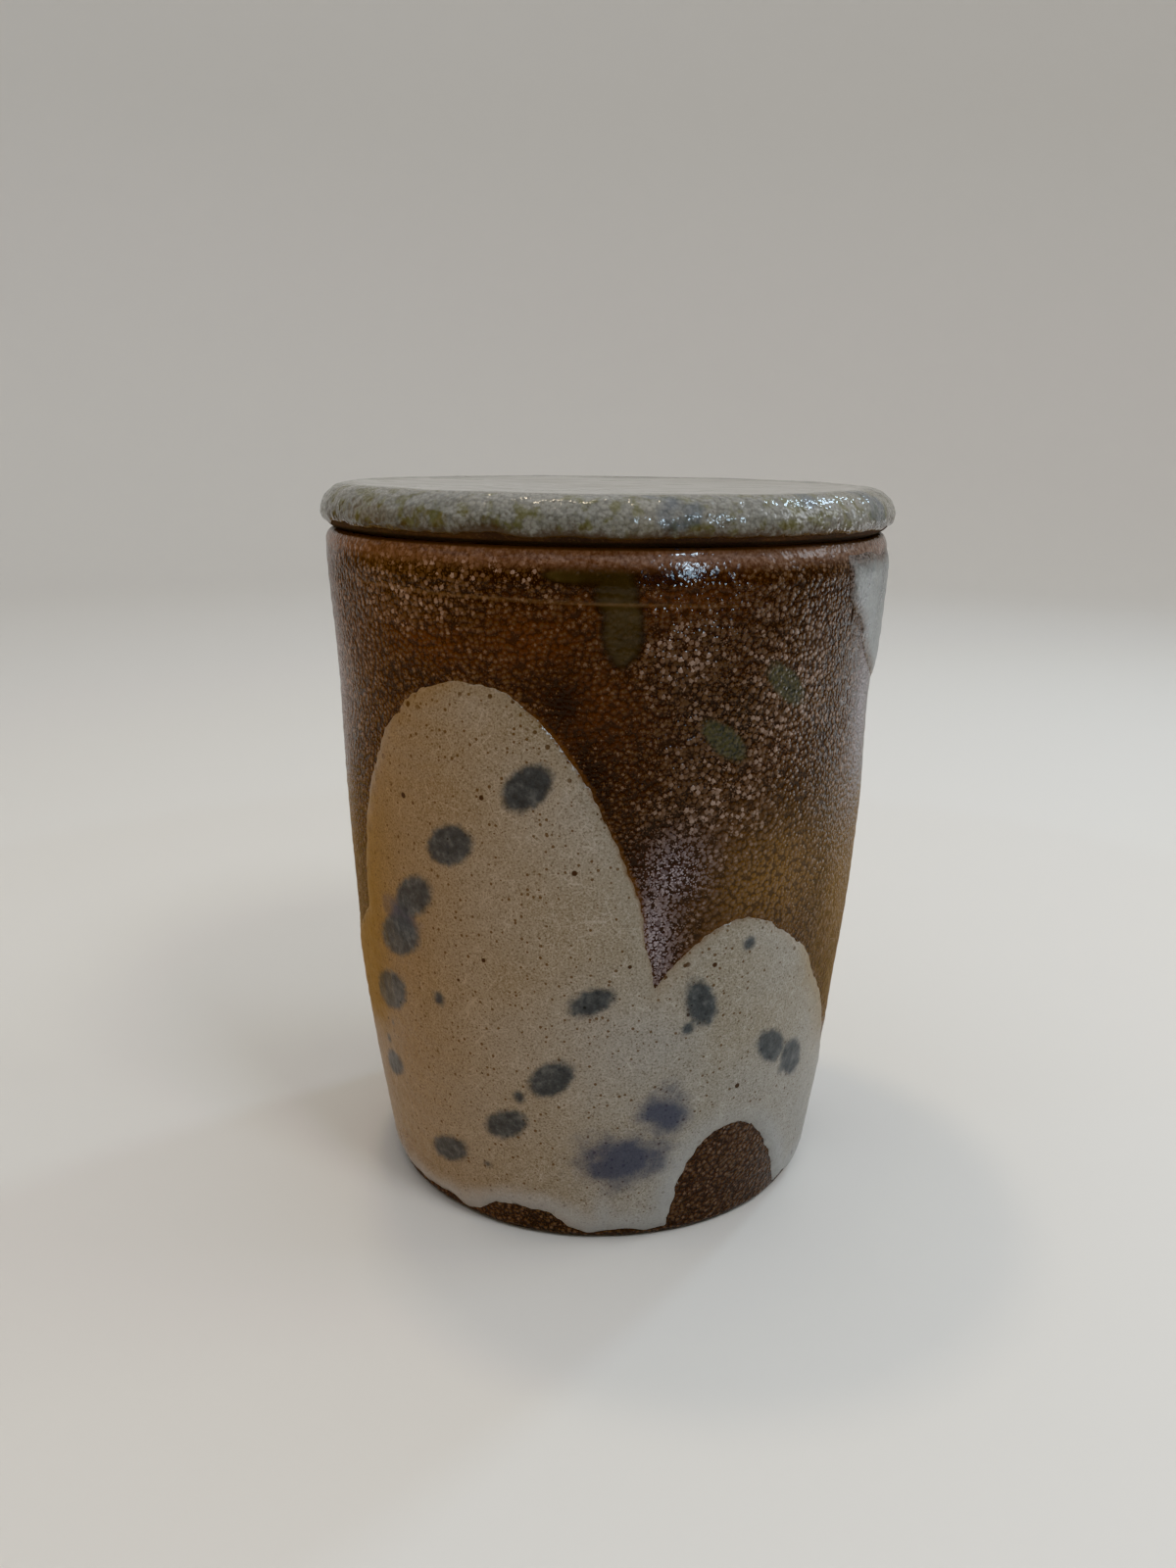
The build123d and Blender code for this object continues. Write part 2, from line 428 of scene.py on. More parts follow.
# %% The pot's profile
ROW_STEP, FINE_STEP = 1.6, 0.64
ROWS_START, FINE_START, ROWS_END = 3.0, 158.0, 177.6
hollow = BASE_RADIUS - HEEL_ROUND - FOOT_RING_WIDTH
coarse, fine = np.arange(ROWS_START, FINE_START, ROW_STEP), np.arange(FINE_START, ROWS_END, FINE_STEP)
rows_up = np.concatenate([coarse, fine]) * MM
rows_down = np.linspace(LIP_START, FLOOR_HEIGHT + FLOOR_CORNER, 16)
corner = float(side_radius(FLOOR_HEIGHT + FLOOR_CORNER)) - WALL - FLOOR_CORNER
foot_profile = np.concatenate([
    [[0, FOOT_HOLLOW_DEPTH]],
    run((0, FOOT_HOLLOW_DEPTH), (hollow, FOOT_HOLLOW_DEPTH), 5),
    [[hollow, FOOT_HOLLOW_DEPTH]],
    arc((hollow + FOOT_HOLLOW_ROUND, FOOT_HOLLOW_ROUND), FOOT_HOLLOW_ROUND, 180, 270, 4),
    run((hollow + FOOT_HOLLOW_ROUND, 0), (HEEL_AXIS, 0), 3),
    arc((HEEL_AXIS, HEEL_ROUND), HEEL_ROUND, -90, -np.degrees(HEEL_TURN), 8),
])
side_profile = np.column_stack([side_radius(rows_up), rows_up])
inside_profile = np.concatenate([
    arc((LIP_AXIS, POT_HEIGHT - LIP_OUTER_ROUND), LIP_OUTER_ROUND, -np.degrees(FLARE_LEAN), 90, 10),
    arc((MOUTH_RADIUS + LIP_INNER_ROUND, POT_HEIGHT - LIP_INNER_ROUND), LIP_INNER_ROUND, 90, 180, 5),
    np.column_stack([side_radius(rows_down) - WALL, rows_down]),
    arc((corner, FLOOR_HEIGHT + FLOOR_CORNER), FLOOR_CORNER, 0, -90, 6)[1:],
    run((corner, FLOOR_HEIGHT), (0, FLOOR_HEIGHT), 4),
    [[0, FLOOR_HEIGHT]],
])
pot_profile = np.concatenate([foot_profile, side_profile, inside_profile])
print("the pot's profile has", len(pot_profile), "points")

# %% The pot's surface
POT_COLUMNS = 500
ROLL_ROWS, NO_ROLL_ROWS = 2, 10
EVEN_WITHIN, UNEVEN_FROM = 40 * MM, 54 * MM
pot_angle, pot_height = np.broadcast_arrays(steps_round(POT_COLUMNS), pot_profile[:, 1:])
away_from_axis = ease(pot_profile[:, :1], EVEN_WITHIN, UNEVEN_FROM)
past_side = np.arange(len(pot_profile))[:, None] - len(foot_profile) - len(side_profile)
pot_radius = pot_profile[:, :1] + away_from_axis * hand_relief(pot_angle, pot_height)
pot_radius = pot_radius + ease(past_side, NO_ROLL_ROWS, ROLL_ROWS) * lip_roll(pot_angle, pot_height)
pot = spun_piece("thrown_pot", round_about(pot_angle, pot_radius, pot_height))
seat(pot, "pot_body", "pot")

# %% [markdown]
# ## What the kiln did to the brown skin
# Salt vapour settles where the flame passes, so the brown skin is frosted with pale flecks in some places,
# ochre in others, and smooth red or scorched nearly black elsewhere. A dark run came down from the rim, and
# olive dabs were brushed on. The pot keeps a number for each of these at every point: how far inside a run
# or a dab it is, or how strong a soft spot is there. Some of these numbers only place painted light and
# shade:
# a lilac sheen near the outline and at the notch, a paler sheen on the front of the lip, and the shade inside
# a few slits. The inside keeps none of them.

# %% Kiln marks
RUN_SHARES = [(-0.062, 0.967, 0.152, 0.0155), (0.019, 0.945, 0.077, 0.033), (0.043, 0.903, 0.072, 0.051)]
OLIVE_DABS = [(22, 137, 8.0, 3.4, -38), (35, 149, 8.6, 3.6, -38), (190, 150, 8, 5, 20), (203, 141, 5, 3, 34)]
# slits have no relief: they only place painted shade
SLITS = [(53.2, 164.4, 4.6, 0.9, 84), (240, 160, 3.5, 0.8, 95)]
RUSTY = [(-9, 128, 11, 24), (3, 98, 8, 22), (26, 84, 12, 8), (150, 118, 14, 12), (208, 112, 14, 20)]
POT_SPOTS = {
    "frosted": [(36, 146, 20, 22), (13, 158, 11, 10), (62, 135, 18, 48), (9, 90, 9, 17), (-68, 148, 16, 30),
                (-40, 168, 20, 9), (-26, 177, 34, 7), (22, 122, 16, 14), (150, 140, 28, 24),
                (200, 155, 30, 16), (250, 130, 20, 34), (105, 120, 20, 30)],
    "ochre": [(38, 101, 24, 16), (60, 92, 14, 26), (170, 128, 24, 14), (235, 112, 18, 22), (100, 60, 16, 40)],
    "scorched": [(-4, 128, 7, 13), (-8, 146, 6, 8), (3, 106, 4, 10), (-2, 175, 24, 4), (140, 118, 14, 10)],
    "ruddy": [(-14, 160, 15, 9), (9, 170, 20, 6), (-4, 146, 12, 12), (-34, 158, 18, 6), (120, 160, 22, 14),
              (215, 170, 26, 8), (270, 165, 20, 12)],
    "rusty": RUSTY,
    # lilac_sheen places a painted sheen: grey-violet reflection near the outline on both sides, and
    # lilac-white glints at the notch
    "lilac_sheen": [(9, 88, 7, 17), (13, 105, 9, 9), (66, 140, 9, 40), (-74, 140, 9, 40), (160, 84, 12, 16)],
    # sheen: where the paler painted sheen lies on the front of the lip, and where the lip is rubbed smooth
    "sheen": [(14, 178, 34, 9), (205, 178, 40, 9)],
}
LIP_ROWS = 8
on_pot = (pot_angle, pot_height)


def pot_keeps(name, values, inside):
    """Keeps numbers for the outside of the pot, and one number for all of its inside."""
    keep(pot, name, spun_order(np.where(past_side < LIP_ROWS, values, inside)))


nearest = np.maximum(pour_distance(*on_pot), rim_pour_distance(*on_pot))
dark_run = np.where(np.cos(pot_angle) > 0, in_ovals(*on_pot, RUN_SHARES), -FAR)
pot_keeps("from_pour", -nearest / MM, FAR / MM)
pot_keeps("in_run", dark_run / MM, -FAR / MM)
pot_keeps("in_olive", in_dabs(*on_pot, OLIVE_DABS), -FAR / MM)
pot_keeps("in_slit_shade", in_dabs(*on_pot, SLITS), -FAR / MM)
pot_keeps("scored", scored_line(*on_pot), 0)
for name, table in POT_SPOTS.items():
    pot_keeps(name, soft_spots(*on_pot, table), 0)
print("dark run reaches", round(float(dark_run.max()) / MM, 1), "mm in from its edge")

# %% [markdown]
# ## The pale glaze on the outside
# A coat of glaze is a thin skin on the side. A grid is laid over the whole side, the squares that touch the
# glaze are kept, and the points just outside its edge are slid back onto the edge. The coat swells from
# nothing at its edge to its full thickness a few millimetres in. Solidify gives it a back, so that it is a
# closed skin.

# %% Coats on the side
COAT_STEP, NUDGE = 1.0 * MM, 0.1 * MM
COAT_BACK, TUCK = 0.5 * MM, 0.12 * MM
GATHER_PLACE, GATHER_WIDTH, GATHER_TALL = 2.6 * MM, 2.0 * MM, 0.35
GATHER_TOP, GATHER_FULL = 48 * MM, 20 * MM
# tan spots: thin glaze, together with painted warm light bounced onto the pot, most of all on the left
TANNED_AND_WARM_LIT = [(-66, 85, 60, 120), (130, 50, 22, 40), (246, 60, 20, 44)]


def slide_to_edge(angle, height, distance, low, high):
    """Moves the points outside an edge back onto it, by four steps along the slope of the distance."""
    inside = distance(angle, height)
    for _ in range(4):
        radius = side_radius(height)
        along = (distance(angle + NUDGE / radius, height) - inside) / NUDGE
        upward = (distance(angle, height + NUDGE) - inside) / NUDGE
        step = np.where(inside < 0, -inside, 0) / np.maximum(along**2 + upward**2, 0.2)
        angle = angle + np.clip(step * along, -COAT_STEP, COAT_STEP) / radius
        height = np.clip(height + np.clip(step * upward, -COAT_STEP, COAT_STEP), low, high)
        inside = distance(angle, height)
    return angle, height, np.maximum(inside, 0)


def coat(name, distance, low, high, swell):
    """A skin where distance is above zero. Its thickness is the full coat times one minus a falling
    exponential of the distance from the edge, with a roll beside the edge low on the pot, where the glaze
    gathered. At the edge itself it is tucked just under the side."""
    columns, rows = int(2 * np.pi * SHOULDER_RADIUS / COAT_STEP), int((high - low) / COAT_STEP) + 1
    angle, height = np.tile(steps_round(columns), rows), np.repeat(np.linspace(low, high, rows), columns)
    quads = ring_quads(rows, columns)
    quads = quads[(distance(angle, height)[quads] > 0).any(axis=1)]
    used, quads = np.unique(quads, return_inverse=True)
    angle, height, depth = slide_to_edge(angle[used], height[used], distance, low, high)
    gather = GATHER_TALL * bell(depth, GATHER_PLACE, GATHER_WIDTH) * ease(height, GATHER_TOP, GATHER_FULL)
    build = (POUR_COAT + TUCK) * (1 - np.exp(-depth / swell)) * (1 + gather) - TUCK
    radius = side_radius(height) + hand_relief(angle, height) + lip_roll(angle, height) + build
    piece = put_in_mesh(name, round_about(angle, radius, height), quads.reshape(-1, 4))
    back = piece.modifiers.new("back", "SOLIDIFY")
    back.thickness, back.offset = COAT_BACK, -1
    keep(piece, "from_edge", depth / MM)
    keep(piece, "rusty", soft_spots(angle, height, RUSTY))
    keep(piece, "tanned_and_warm_lit", soft_spots(angle, height, TANNED_AND_WARM_LIT))
    return piece, angle, height


pale_pour, pour_angle, pour_height = coat("pale_pour", pour_distance, 1.2 * MM, 156 * MM, 2.2 * MM)
seat(pale_pour, "pale_glaze_pour", "pot")
rim_pour, _, _ = coat("rim_pour", rim_pour_distance, 130 * MM, 178.5 * MM, 2.4 * MM)
seat(rim_pour, "rim_glaze_pour", "pot")

# %% [markdown]
# ## Brush dabs
# Rows of slanted blue-grey dabs were brushed over the pale glaze. A row is a bowed line of long oval dabs,
# each a little different, and loose drops lie near it. The coat keeps how far each point is inside the
# nearest dab, and how close it is to the soft blue washes low on the pot.

# %% Rows of dabs, drops and washes
DAB_ROWS = [
    (-58, 36, -17, 124, 7, 6, 8.8, 40), (-36, 22, -3, 70, -4, 4, 7.6, 32), (21, 70, 48, 46, -4, 3, 7.0, 118),
    (134, 62, 166, 104, 6, 4, 8.0, 44), (182, 28, 230, 92, -8, 5, 8.2, 36), (238, 20, 262, 60, 5, 3, 7.0, 40),
]
DROPS, DAB_SEED = 22, 7
WASHES = [(5, 26, 17, 10), (14, 40, 9, 9), (-46, 86, 8, 7), (196, 60, 16, 12), (228, 38, 13, 9),
          (150, 44, 12, 9)]


def row_of_dabs(start_angle, start, end_angle, end, bow, count, size, tilt, draw):
    """Dabs along a bowed line from one place to another, all slanted alike, with drawn sizes and small drawn
    turns."""
    share = np.linspace(0, 1, count) + draw.uniform(-0.05, 0.05, count)
    arch = 4 * share * (1 - share)
    angle = start_angle + (end_angle - start_angle) * share - bow * arch
    height = start + (end - start) * share + bow * arch
    length = size * draw.uniform(0.74, 1.12, count)
    width = length * draw.uniform(0.54, 0.68, count)
    return np.column_stack([angle, height, length, width, tilt + draw.normal(0, 9, count)])


def loose_drops(dabs, count, draw):
    """Small round drops a little way from drawn dabs."""
    near = dabs[draw.integers(0, len(dabs), count)]
    size = draw.uniform(0.7, 2.2, count)
    angle, height = near[:, 0] + draw.normal(0, 9, count), near[:, 1] + draw.normal(0, 10, count)
    return np.column_stack([angle, height, size, size, 0 * size])


draw = np.random.default_rng(DAB_SEED)
dabs = np.concatenate([row_of_dabs(*row, draw) for row in DAB_ROWS])
dabs = np.concatenate([dabs, loose_drops(dabs, DROPS, draw)])
keep(pale_pour, "in_dab", in_dabs(pour_angle, pour_height, dabs))
keep(pale_pour, "washed", soft_spots(pour_angle, pour_height, WASHES))
print(len(dabs), "dabs and drops")

# %% [markdown]
# ## The glaze inside
# The inside is lined with glaze up to a bare band at the mouth, where the lid sat in the firing. Its profile
# goes out along the clay floor, up the wall and back down a coat's thickness further in.

# %% Liner
LINER_COLUMNS = 240
FINGER_PITCH, FINGER_DEPTH = 9 * MM, 0.10 * MM
FLOOR_WITHIN, WALL_FROM = 46 * MM, 55 * MM
CLOSE = 0.02 * MM


def hollow_profile(inset, tall):
    """The hollow of the pot from the middle of its floor to a height, drawn in all over by inset."""
    bend, floor_level = FLOOR_CORNER - inset, FLOOR_HEIGHT + inset
    levels = np.linspace(floor_level + bend, tall, 70)
    reach = float(side_radius(levels[0])) - WALL - inset - bend
    return np.concatenate([
        [[0, floor_level]],
        run((0, floor_level), (reach, floor_level), 12),
        arc((reach, levels[0]), bend, -90, 0, 8)[:-1],
        np.column_stack([side_radius(levels) - WALL - inset, levels]),
    ])


liner_top = POT_HEIGHT - BARE_MOUTH
liner_back = hollow_profile(CLOSE, liner_top)
liner_profile = np.concatenate([liner_back, hollow_profile(LINER_COAT, liner_top - LINER_COAT)[::-1]])
liner_angle, liner_height = np.broadcast_arrays(steps_round(LINER_COLUMNS), liner_profile[:, 1:])
on_wall = ease(liner_profile[:, :1], FLOOR_WITHIN, WALL_FROM)
in_front = np.arange(len(liner_profile))[:, None] >= len(liner_back)
fingers = in_front * FINGER_DEPTH * spiral(liner_angle, liner_height, FINGER_PITCH)
liner_radius = liner_profile[:, :1] + on_wall * (hand_relief(liner_angle, liner_height) + fingers)
liner = spun_piece("inside_liner", round_about(liner_angle, liner_radius, liner_height))
seat(liner, "liner_glaze", "pot")

# %% [markdown]
# ## The lid
# The lid is a thick disc of clay with a round edge and a shallow dish on top. A ring of clay was stuck under
# it to keep it centred. Glaze covers its top and runs down the edge to a ragged line, and under that line
# the clay is bare.

# %% Clay of the lid
LID_COLUMNS = 420
lid_flat, lid_crest = LID_RADIUS - LID_LOWER_ROUND, LID_RADIUS - LID_UPPER_ROUND
lid_middle = POT_HEIGHT + LID_LOWER_ROUND
lid_top = lid_middle + LID_UPPER_ROUND


def lid_edge(turn, grow):
    """A point of the lid's edge at a turn from level: a small round below and a larger one above, made
    larger by grow."""
    below = turn < 0
    size = np.where(below, LID_LOWER_ROUND, LID_UPPER_ROUND) + grow
    return np.where(below, lid_flat, lid_crest) + size * np.cos(turn), lid_middle + size * np.sin(turn)


def dish_height(radius):
    """Height of the clay on top: the crest, less a dish that is deepest in the middle."""
    return lid_top - LID_DISH * (1 - (radius / lid_crest) ** 2)


def lid_waver(points, radius):
    """How far the lid's edge stands out or in from true."""
    return relief(points, (0.20, 40, 31), (0.04, 9, 32)) * ease(radius, 55 * MM, 72 * MM)


dish_radius = np.linspace(lid_crest, 0, 14)[1:]
clay_profile = np.concatenate([
    [[0, POT_HEIGHT]],
    run((0, POT_HEIGHT), (lid_flat, POT_HEIGHT), 16),
    np.column_stack(lid_edge(np.radians(np.linspace(-90, 90, 30)), 0)),
    np.column_stack([dish_radius, dish_height(dish_radius)]),
])
lid_angle = steps_round(LID_COLUMNS)
clay_radius, clay_height = clay_profile[:, :1], clay_profile[:, 1:]
clay_radius = clay_radius + lid_waver(round_about(lid_angle, clay_radius, clay_height), clay_radius)
lid_clay = spun_piece("lid_clay", round_about(lid_angle, clay_radius, clay_height))
seat(lid_clay, "lid_disc", "lid")

# %% Ring under the lid
TOOL_PITCH, TOOL_DEPTH = 2.4 * MM, 0.04 * MM
ring_foot, ring_inner = POT_HEIGHT - RING_DEPTH, RING_RADIUS - RING_THICKNESS
ring_profile = np.concatenate([
    run((ring_inner, POT_HEIGHT), (ring_inner, ring_foot + RING_ROUND), 6),
    arc((ring_inner + RING_ROUND, ring_foot + RING_ROUND), RING_ROUND, 180, 270, 6),
    arc((RING_RADIUS - RING_ROUND, ring_foot + RING_ROUND), RING_ROUND, -90, 0, 6),
    run((RING_RADIUS, ring_foot + RING_ROUND), (RING_RADIUS, POT_HEIGHT), 6),
    [[RING_RADIUS, POT_HEIGHT], [ring_inner, POT_HEIGHT]],
])
ring_radius, ring_height = ring_profile[:, :1], ring_profile[:, 1:]
ring_relief = relief(round_about(lid_angle, ring_radius, ring_height), (0.12, 26, 41))
ring_radius = ring_radius + ring_relief + TOOL_DEPTH * spiral(0, ring_height, TOOL_PITCH)
centring_ring = spun_piece("centring_ring", round_about(lid_angle, ring_radius, ring_height), loop=True)
seat(centring_ring, "lid_ring", "lid")

# %% [markdown]
# The lid's glaze is the thickest on the object. It has pooled in the dish, so its top is nearly flat and as
# smooth as still water, with a soft rim. On the edge it has slid and pebbled. The lower end of each column
# of the grid is at its own height, which makes the ragged line.

# %% Glaze of the lid
GLAZE_COLUMNS = 640
LINE_TURN, LINE_LOWEST, LINE_HIGHEST = -31, -46, -8
GLAZE_SWELL = 1.3 * MM
glaze_angle = steps_round(GLAZE_COLUMNS)
line_points = round_about(glaze_angle, LID_RADIUS, POT_HEIGHT)
line_turn = LINE_TURN + 4 * ripple(line_points, 19 * MM, 51) + 2 * ripple(line_points, 4.5 * MM, 52, 30)
line_turn = np.radians(np.clip(line_turn, LINE_LOWEST, LINE_HIGHEST))
glaze_turn = line_turn + np.linspace(0, 1, 28)[:, None] * (np.pi / 2 - line_turn)
slid = (glaze_turn - line_turn) * LID_UPPER_ROUND
edge_grow = (LID_COAT + TUCK) * (1 - np.exp(-slid / GLAZE_SWELL)) - TUCK
back_turn = line_turn + np.linspace(1, 0.06, 10)[:, None] * (np.pi / 2 - line_turn)
back_radius = np.linspace(0, lid_crest, 14)[:-1, None] + 0 * glaze_angle
top_radius = np.linspace(lid_crest, 0, 56)[1:, None] + 0 * glaze_angle
edge_r, edge_z = lid_edge(glaze_turn, edge_grow)
under_r, under_z = lid_edge(back_turn, -COAT_BACK)
back_z, top_z = dish_height(back_radius) - COAT_BACK, dish_height(top_radius) + LID_COAT
glaze_r = np.concatenate([back_radius, under_r, edge_r, top_radius])
glaze_z = np.concatenate([back_z, under_z, edge_z, top_z])
print("the lid's glaze has", len(glaze_r), "rows of", GLAZE_COLUMNS, "points")

# %% Unevenness of the lid's glaze
BEAD_TALL, BEAD_IN, BEAD_WIDTH = 0.22 * MM, 2 * MM, 2.6 * MM
EDGE_BLEND = 3 * MM
glaze_points = round_about(glaze_angle, glaze_r, glaze_z)
shown = np.arange(len(glaze_r))[:, None] >= len(back_radius) + len(under_r)
on_edge = shown * ease(glaze_r, lid_crest - EDGE_BLEND, lid_crest + EDGE_BLEND)
lumps = on_edge * relief(glaze_points, (0.07, 10, 53), (0.06, 4.5, 54, 30), (0.045, 2.4, 57, 36))
pool = (shown - on_edge) * relief(glaze_points, (0.07, 34, 55), (0.018, 11, 56))
bead = shown * BEAD_TALL * bell(glaze_r, lid_crest - BEAD_IN, BEAD_WIDTH)
glaze_radius = glaze_r + lid_waver(glaze_points, glaze_r) + lumps
glaze_height = glaze_z + pool + 0.5 * lumps + bead
lid_glaze_coat = spun_piece("lid_glaze_coat", round_about(glaze_angle, glaze_radius, glaze_height))
from_line = np.concatenate([0 * back_radius, 0 * under_r, slid, 0 * top_radius + slid.max()])
keep(lid_glaze_coat, "from_edge", spun_order(from_line) / MM)
seat(lid_glaze_coat, "lid_glaze", "lid")

# %% [markdown]
# ## Finishes
# Each finish is a Principled shader with nodes before it. They read Object coordinates, which are metres in
# the part's own frame, so a pattern keeps its true size, and the numbers that the pieces keep. Wiring nodes
# one by one is slow to read, so two small classes do it. With the first, a sum of two node outputs is written
# as a sum, and the second holds a material and the colour that is painted in it, layer on layer.


# %% Numbers made by nodes
class Number:
    """The output of a node of a finish. Sums and the like add another node and give its output."""

    def __init__(self, finish, socket):
        self.finish, self.socket = finish, socket

    def math(self, kind, other):
        """This number and another, put together by an operation of the Math node."""
        return self.finish.add("ShaderNodeMath", {0: self, 1: other}, operation=kind)

    def __add__(self, other):
        return self.math("ADD", other)

    def __sub__(self, other):
        return self.math("SUBTRACT", other)

    def __mul__(self, other):
        return self.math("MULTIPLY", other)

    def larger(self, other):
        """The larger of two numbers."""
        return self.math("MAXIMUM", other)

    def onto(self, low, high, start=0, end=1):
        """The number carried from the range start to end onto the range low to high."""
        inputs = {"Value": self, "From Min": start, "From Max": end, "To Min": low, "To Max": high}
        return self.finish.add("ShaderNodeMapRange", inputs)

    def step(self, low, high):
        """0 at low, 1 at high, and an even S between. High may be the smaller."""
        inputs = {"Value": self, "From Min": low, "From Max": high}
        return self.finish.add("ShaderNodeMapRange", inputs, interpolation_type="SMOOTHSTEP")


# %% A finish and its nodes
class Finish:
    """A material, its surface shader and short ways to add nodes. Sizes and depths are in millimetres."""

    def __init__(self, name, **constants):
        self.material = bpy.data.materials.new(name)
        self.material.use_nodes = True
        self.tree = self.material.node_tree
        self.surface = self.tree.nodes["Principled BSDF"]
        self.place = self.add("ShaderNodeTexCoord", {}, "Object")
        for socket, value in constants.items():
            self.surface.inputs[socket.replace("_", " ")].default_value = value

    def fill(self, socket, value):
        """Links an input to a number made by nodes, or sets it to a value. A colour may be three numbers."""
        if isinstance(value, Number):
            self.tree.links.new(value.socket, socket)
        else:
            socket.default_value = (*value, 1) if socket.type == "RGBA" else value

    def node(self, kind, inputs, **settings):
        """A node of a kind, with settings, and inputs to link or set."""
        node = self.tree.nodes.new(kind)
        for name, value in settings.items():
            setattr(node, name, value)
        for key, value in inputs.items():
            self.fill(node.inputs[key], value)
        return node

    def add(self, kind, inputs, output=0, **settings):
        """One output of a new node."""
        return Number(self, self.node(kind, inputs, **settings).outputs[output])

    def on(self, *pieces, **links):
        """Links numbers and colours to the surface shader, and gives the finish to pieces, as their only
        material."""
        for socket, value in links.items():
            self.fill(self.surface.inputs[socket.replace("_", " ")], value)
        for piece in pieces:
            piece.data.materials.clear()
            piece.data.materials.append(self.material)
        print(self.material.name, "has", len(self.tree.nodes), "nodes")

    def reads(self, name):
        """A number that the piece keeps for each point."""
        return self.add("ShaderNodeAttribute", {}, "Fac", attribute_name=name)

    def height(self):
        """Height above the foot, in metres."""
        return self.add("ShaderNodeSeparateXYZ", {"Vector": self.place}, "Z")

    def noise(self, size, detail=2.0, rough=0.5):
        """Soft noise with blots of about a size."""
        inputs = {"Vector": self.place, "Scale": 1 / (size * MM), "Detail": detail, "Roughness": rough}
        return self.add("ShaderNodeTexNoise", inputs, "Fac")

    def cells(self, size, **settings):
        """Cells of about a size: how far a point is from the middle of its cell, in cells."""
        inputs = {"Vector": self.place, "Scale": 1 / (size * MM)}
        return self.add("ShaderNodeTexVoronoi", inputs, "Distance", **settings)

    def chance(self, cells):
        """A chance number for each cell."""
        colour = Number(self, cells.socket.node.outputs["Color"])
        return self.add("ShaderNodeSeparateColor", {"Color": colour})

    def hairlines(self, size, width):
        """A net of thin lines, the borders of cells of a size, with a width in cells."""
        return self.cells(size, feature="DISTANCE_TO_EDGE").step(width, 0)

    def specks(self, size, share, radius, soft):
        """Round specks, one in the middle of a share of the cells, each of a chance radius in cells."""
        cells = self.cells(size)
        return (self.chance(cells).onto(0, radius, 1 - share, 1) - cells).step(0, soft)

    def mix(self, amount, first, second, **settings):
        """A mix of two colours, each made by nodes or three numbers."""
        inputs = {0: amount, 6: first, 7: second}
        return self.add("ShaderNodeMix", inputs, 2, data_type="RGBA", **settings)

    def paint(self, amount, tone):
        """Paints a tone over the finish's colour, by an amount."""
        self.colour = self.mix(amount, self.colour, tone)

    def tint(self, amount, tone):
        """Lays a filter of a tone over the finish's colour, by an amount."""
        self.colour = self.mix(amount, self.colour, tone, blend_type="MULTIPLY")

    def ramp(self, value, *stops):
        """Colours along a number: pairs of a place from 0 to 1 and a colour."""
        node = self.node("ShaderNodeValToRGB", {0: value})
        elements = node.color_ramp.elements
        for place, _ in stops[2:]:
            elements.new(place)
        for element, (place, colour) in zip(elements, stops):
            element.position, element.color = place, (*colour, 1)
        return Number(self, node.outputs["Color"])

    def bump(self, height, depth, **under):
        """A relief of a depth from a height of 0 to 1, over another relief, Normal, if there is one."""
        return self.add("ShaderNodeBump", {"Height": height, "Distance": depth * MM, **under}, "Normal")


# %% [markdown]
# ### Brown salt glaze
# Salt thrown into the hot kiln made a thin glassy skin on the clay, pebbled like orange peel. Its colour runs
# from nearly black through red-brown to ochre. Each pebble carries a pale fleck of its own brightness, so the
# same cells give the relief and the flecks, and the two always fall together.

# %% Colours of the brown skin
brown = Finish("brown_salt_glaze", IOR=1.45)
reach, tiny_reach = brown.cells(1.25), brown.cells(0.62)
grit, speckle = brown.noise(0.35, 1.0), brown.noise(0.9, 2, 0.6)
drift, cloud = brown.noise(40, 3, 0.55), brown.noise(12, 3, 0.6)
frosted, scorched, lilac_sheen = brown.reads("frosted"), brown.reads("scorched"), brown.reads("lilac_sheen")
ruddy, ochre = brown.reads("ruddy"), brown.reads("ochre")
dark, middling, light = (0.020, 0.007, 0.002), (0.036, 0.012, 0.004), (0.054, 0.020, 0.007)
brown.colour = brown.ramp(drift, (0.34, dark), (0.50, middling), (0.66, light))
brown.paint(ruddy * 0.88, (0.084, 0.025, 0.005))
brown.paint(ochre * 0.88, (0.215, 0.121, 0.047))
# painted sheen: a lilac-grey tone where the lilac sheen lies
brown.paint(lilac_sheen * 0.7, (0.046, 0.028, 0.027))
brown.paint(scorched * 0.92, (0.010, 0.004, 0.002))
brown.paint(reach.step(0.46, 0.74) * 0.70, (0.013, 0.005, 0.002))
print("the brown skin starts with", len(brown.tree.nodes), "nodes")

# %% [markdown]
# A fleck covers the middle of its cell. Where the skin is frosted the flecks are wide and nearly white, and
# where it is scorched or red they shrink and darken. A second, finer set of cells fills the gaps with dust.

# %% Flecks
grow = frosted * 0.15 + (cloud - 0.5) * 0.30
shrink = scorched * 0.18 + ruddy.larger(ochre) * 0.10
size = grow - shrink + grit.onto(0.30, 0.52, 0.3, 0.7)
# where the painted lilac sheen lies, the flecks give way to a finer dust
fleck = (size - reach).step(-0.05, 0.09) * lilac_sheen.onto(1.0, 0.3)
dust = (size * 0.85 + lilac_sheen * 0.06 - tiny_reach).step(-0.04, 0.08) * lilac_sheen.onto(0.6, 1.0)
dull, pale_tone, white = (0.066, 0.037, 0.021), (0.150, 0.094, 0.064), (0.365, 0.272, 0.222)
frost = brown.ramp(brown.chance(reach), (0, dull), (0.60, pale_tone), (1, white))
frost = brown.mix(frosted.onto(0.30, 1), (0.098, 0.058, 0.033), frost)
# painted glints: the flecks turn lilac-white where the lilac sheen lies
frost = brown.mix(lilac_sheen * 0.85, frost, (0.385, 0.345, 0.370))
brown.paint(fleck.larger(dust) * 0.9, frost)
print("with its flecks it has", len(brown.tree.nodes), "nodes")
